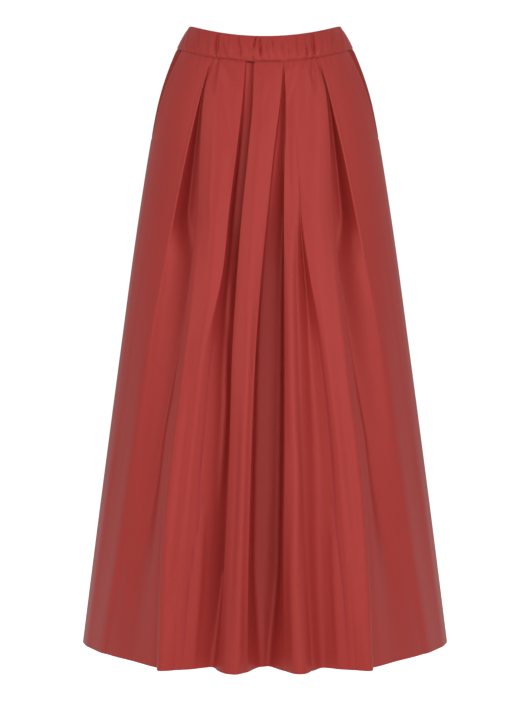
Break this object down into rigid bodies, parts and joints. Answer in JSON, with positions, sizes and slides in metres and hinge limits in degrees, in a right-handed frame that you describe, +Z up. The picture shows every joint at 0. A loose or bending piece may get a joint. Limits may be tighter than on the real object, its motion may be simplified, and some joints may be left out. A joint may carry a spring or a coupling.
{
  "type": "flared skirt",
  "caption": "Long flared skirt in its worn shape: gathered elastic waistband, pressed front pleats that open into soft folds, slanted side pockets, level hem, open at waist and hem.",
  "frame": {"origin": "centre of the waist opening, level with the middle of the waistband at the side seams, where the wearer holds the skirt", "axes": "+Z up, -Y to the front of the skirt, +X to the right as seen from the front"},
  "size_m": [0.5858, 0.4656, 0.981],
  "materials": {
    "taffeta": "matte satin taffeta, brick red",
    "taffeta_facing": "the same taffeta in the shade of the pocket mouth"
  },
  "bodies": {
    "root": {"front_panel": "taffeta", "back_panel": "taffeta", "waistband_front": "taffeta", "waistband_back": "taffeta", "pocket_facing_left": "taffeta_facing", "pocket_facing_right": "taffeta_facing"}
  },
  "joints": []
}
